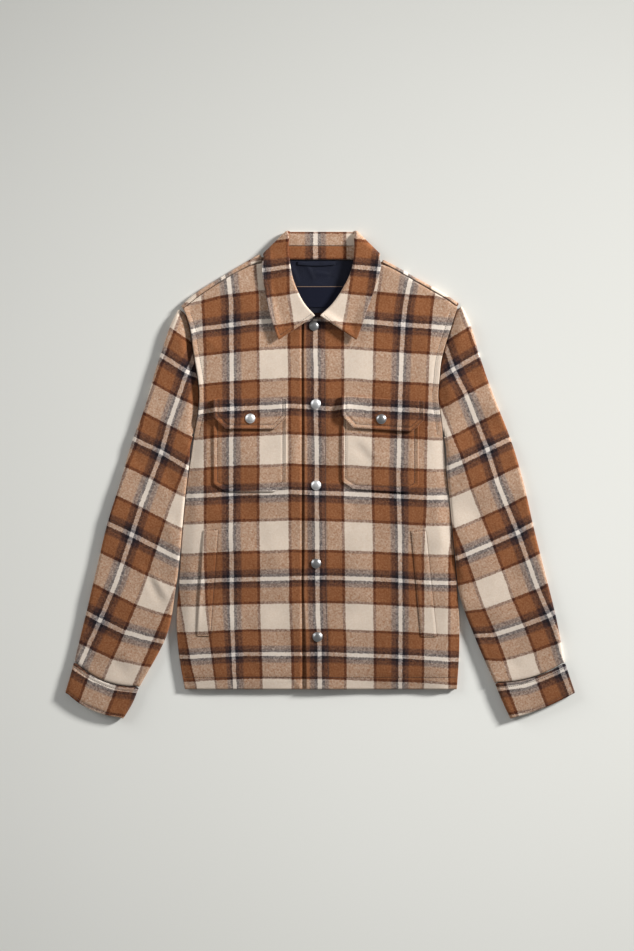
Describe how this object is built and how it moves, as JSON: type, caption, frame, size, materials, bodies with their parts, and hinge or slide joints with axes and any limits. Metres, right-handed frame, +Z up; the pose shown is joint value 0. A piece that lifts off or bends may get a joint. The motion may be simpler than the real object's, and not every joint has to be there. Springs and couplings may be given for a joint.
{
  "type": "shacket",
  "caption": "Plaid wool overshirt laid flat, front closed with domed snaps, with a turned-down collar, flapped chest pockets, slanted hand pockets and turned cuffs.",
  "frame": {"origin": "on the surface the garment lies on, under the middle of its outline", "axes": "+X from the wearer's right to the wearer's left, across the body; +Y from the hem to the collar; +Z up from the surface, out of the front"},
  "size_m": [0.8425, 0.8064, 0.0169],
  "materials": {
    "back": "brown, tan and cream plaid wool",
    "front_right": "brown, tan and cream plaid wool",
    "front_left": "brown, tan and cream plaid wool",
    "sleeve_right": "brown, tan and cream plaid wool",
    "sleeve_left": "brown, tan and cream plaid wool",
    "cuff_right": "brown, tan and cream plaid wool",
    "cuff_left": "brown, tan and cream plaid wool",
    "collar_stand": "brown plaid wool",
    "collar_leaf": "brown, tan and cream plaid wool",
    "neck_lining": "navy lining cloth",
    "neck_label": "navy woven label, plain",
    "hanger_loop": "navy tape",
    "chest_pocket_right": "brown, tan and cream plaid wool",
    "chest_pocket_left": "brown, tan and cream plaid wool",
    "pocket_flap_right": "brown, tan and cream plaid wool",
    "pocket_flap_left": "brown, tan and cream plaid wool",
    "hand_welt_right": "brown, tan and cream plaid wool",
    "hand_welt_left": "brown, tan and cream plaid wool",
    "snap_steel": "domed and satin"
  },
  "bodies": {
    "root": {"back": "back", "front_right": "front_right", "front_left": "front_left", "sleeve_right": "sleeve_right", "sleeve_left": "sleeve_left", "cuff_right": "cuff_right", "cuff_left": "cuff_left", "collar_stand": "collar_stand", "collar_leaf": "collar_leaf", "neck_lining": "neck_lining", "neck_label": "neck_label", "hanger_loop": "hanger_loop", "chest_pocket_right": "chest_pocket_right", "chest_pocket_left": "chest_pocket_left", "pocket_flap_right": "pocket_flap_right", "pocket_flap_left": "pocket_flap_left", "hand_welt_right": "hand_welt_right", "hand_welt_left": "hand_welt_left", "snap_1": "snap_steel", "snap_2": "snap_steel", "snap_3": "snap_steel", "snap_4": "snap_steel", "snap_5": "snap_steel", "flap_snap_right": "snap_steel", "flap_snap_left": "snap_steel"}
  },
  "joints": []
}
